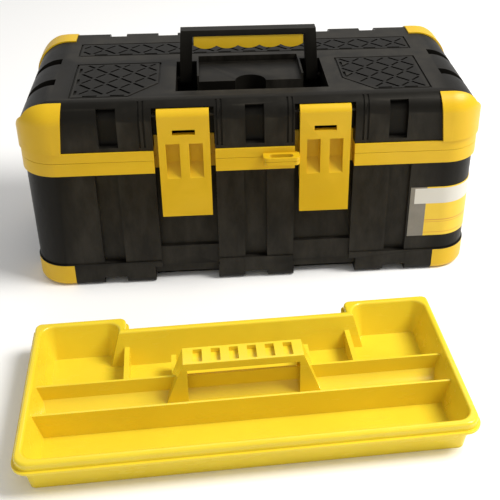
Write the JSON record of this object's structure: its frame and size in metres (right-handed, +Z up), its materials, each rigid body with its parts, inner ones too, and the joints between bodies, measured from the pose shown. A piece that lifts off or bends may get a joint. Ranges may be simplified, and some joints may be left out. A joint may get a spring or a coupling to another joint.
{
  "type": "toolbox",
  "caption": "Plastic toolbox with hinged lid, swinging front latches, fold-down carry handle and a loose lift-out tray with troughs and its own carry bar.",
  "frame": {"origin": "middle of the tub's base, on the floor", "axes": "+X to the box's right as seen from its front, +Y to its rear (the hinge side), +Z up"},
  "size_m": [0.505, 0.5457, 0.267],
  "materials": {
    "black_plastic": "fine-grained satin black polypropylene",
    "yellow_plastic": "satin moulded yellow polypropylene",
    "tray_plastic": "smooth glossy yellow polypropylene",
    "steel": "zinc-plated wire",
    "label_film": "printed film, grey edge, white banner, yellow field, no lettering"
  },
  "bodies": {
    "base": {"base_shell": "black_plastic", "base_band": "yellow_plastic", "foot_fl": "yellow_plastic", "foot_fr": "yellow_plastic", "foot_rl": "yellow_plastic", "foot_rr": "yellow_plastic", "hinge_pin_left": "steel", "hinge_pin_right": "steel", "label": "label_film"},
    "lid": {"lid_shell": "black_plastic", "lid_band": "yellow_plastic", "lid_cap_fl": "yellow_plastic", "lid_cap_fr": "yellow_plastic", "lid_cap_rl": "yellow_plastic", "lid_cap_rr": "yellow_plastic", "latch_pin_left": "black_plastic", "latch_pin_right": "black_plastic", "handle_pin_left": "black_plastic", "handle_pin_right": "black_plastic"},
    "latch_left_body": {"latch_left": "yellow_plastic"},
    "latch_right_body": {"latch_right": "yellow_plastic"},
    "handle": {"handle_frame": "black_plastic", "handle_grip": "yellow_plastic"},
    "tray_body": {"tray": "tray_plastic"}
  },
  "joints": [
    {"name": "lid_hinge", "type": "hinge", "parent": "base", "child": "lid", "pos_m": [0, 0.1175, 0.161], "axis": [-1, 0, 0], "range_deg": [0, 105]},
    {"name": "latch_left_swing", "type": "hinge", "parent": "lid", "child": "latch_left_body", "pos_m": [-0.075, -0.1125, 0.21], "axis": [-1, 0, 0], "range_deg": [0, 100]},
    {"name": "latch_right_swing", "type": "hinge", "parent": "lid", "child": "latch_right_body", "pos_m": [0.075, -0.1125, 0.21], "axis": [-1, 0, 0], "range_deg": [0, 100]},
    {"name": "handle_fold", "type": "hinge", "parent": "lid", "child": "handle", "pos_m": [0, -0.008, 0.208], "axis": [1, 0, 0], "range_deg": [0, 90]},
    {"name": "tray_lift", "type": "slide", "parent": "base", "child": "tray_body", "axis": [0, 0, 1], "range_m": [0, 0.3]}
  ]
}
